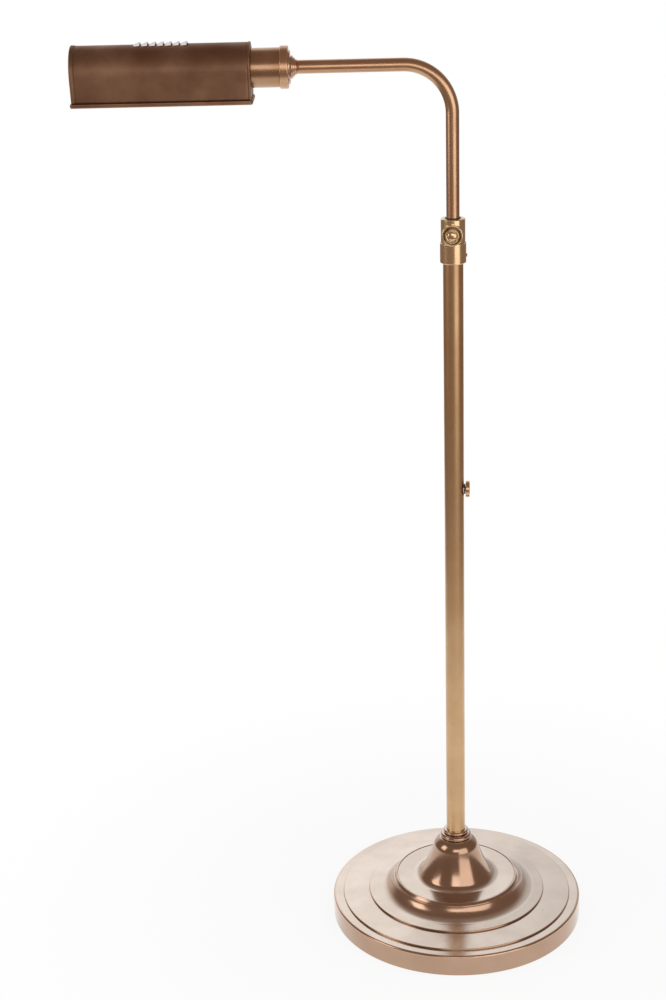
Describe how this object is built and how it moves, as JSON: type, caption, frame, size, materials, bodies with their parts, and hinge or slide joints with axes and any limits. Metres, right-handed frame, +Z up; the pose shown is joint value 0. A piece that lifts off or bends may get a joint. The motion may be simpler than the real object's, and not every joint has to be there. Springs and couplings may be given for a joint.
{
  "type": "floor lamp",
  "caption": "Brass reading floor lamp with a stepped round base, a height-adjusting pole with a thumb screw, a swing arm and a louvred trough shade that tilts.",
  "frame": {"origin": "on the floor, on the pole's axis, in the face of the felt pad", "axes": "+Z up along the pole, the arm points along -X at rest, the clamp screw faces about -Y"},
  "size_m": [0.5536, 0.3017, 1.0538],
  "materials": {
    "base_brass": "aged brass, satin polished",
    "stem_brass": "aged brass, satin polished",
    "arm_brass": "aged brass, satin polished",
    "shade_bronze": "dark aged brass, satin",
    "plain_brass": "plain turned brass",
    "cast_iron": "rough black casting",
    "felt": "dark felt",
    "plated_steel": "zinc plated",
    "dark_steel": "blackened",
    "black_plastic": "moulded",
    "brown_plastic": "moulded",
    "nylon": "natural nylon",
    "porcelain": "white glaze",
    "cap_metal": "bright",
    "opal_glass": "opal white"
  },
  "bodies": {
    "stand": {"base_pan": "base_brass", "base_bell": "base_brass", "base_weight": "cast_iron", "base_felt": "felt", "base_nipple": "plain_brass", "base_nut": "plated_steel", "base_washer": "plated_steel", "cord_bush": "brown_plastic", "neck_ring": "stem_brass", "pole": "stem_brass", "pole_foot": "plain_brass", "clamp_collar": "stem_brass", "collar_liner": "black_plastic", "collar_grub": "dark_steel", "switch_body": "black_plastic", "switch_bushing": "plated_steel", "switch_nut": "black_plastic"},
    "shoe": {"clamp_shoe": "plain_brass"},
    "thumb_screw": {"clamp_screw": "stem_brass"},
    "switch": {"switch_shaft": "plated_steel", "switch_knob": "stem_brass", "knob_grub": "dark_steel"},
    "riser": {"guide_bush": "nylon"},
    "arm": {"arm_tube": "arm_brass", "stop_rings": "plain_brass", "end_bush": "plain_brass", "ferrule": "arm_brass", "swivel_nipple": "plain_brass", "friction_washer": "nylon", "spring_washer": "plated_steel", "swivel_nut": "plated_steel"},
    "head": {"back_plate": "arm_brass", "holder_cup": "arm_brass", "holder_body": "porcelain", "holder_shell": "plain_brass", "holder_contact": "plain_brass", "holder_screws": "plated_steel", "shade_shell": "shade_bronze", "shade_near_cap": "shade_bronze", "shade_far_cap": "shade_bronze", "shade_hem": "shade_bronze", "shade_ring": "plain_brass", "bulb_cap": "cap_metal", "bulb_glass": "opal_glass"}
  },
  "joints": [
    {"name": "arm_height", "type": "slide", "parent": "stand", "child": "riser", "axis": [0, 0, 1], "range_m": [-0.095, 0.13]},
    {"name": "arm_swing", "type": "hinge", "parent": "riser", "child": "arm", "pos_m": [0, 0, 0.68], "axis": [0, 0, 1], "range_deg": [-170, 170]},
    {"name": "shade_tilt", "type": "hinge", "parent": "arm", "child": "head", "pos_m": [-0.18, 0, 1.02442], "axis": [-1, 0, 0], "range_deg": [-100, 100]},
    {"name": "clamp_press", "type": "slide", "parent": "stand", "child": "shoe", "axis": [-0.0872, -0.9962, 0], "range_m": [0, 0.00155]},
    {"name": "clamp_turn", "type": "hinge", "parent": "shoe", "child": "thumb_screw", "pos_m": [-0.00138, -0.01574, 0.84342], "axis": [-0.0872, -0.9962, 0], "range_deg": [0, 540]},
    {"name": "switch_turn", "type": "hinge", "parent": "stand", "child": "switch", "pos_m": [0.01299, -0.00045, 0.5475], "axis": [0.9994, -0.0349, 0], "range_deg": [0, 270]}
  ],
  "couplings": [
    {"joint": "clamp_press", "follows": "clamp_turn", "m_per_rad": 0.00015915}
  ]
}
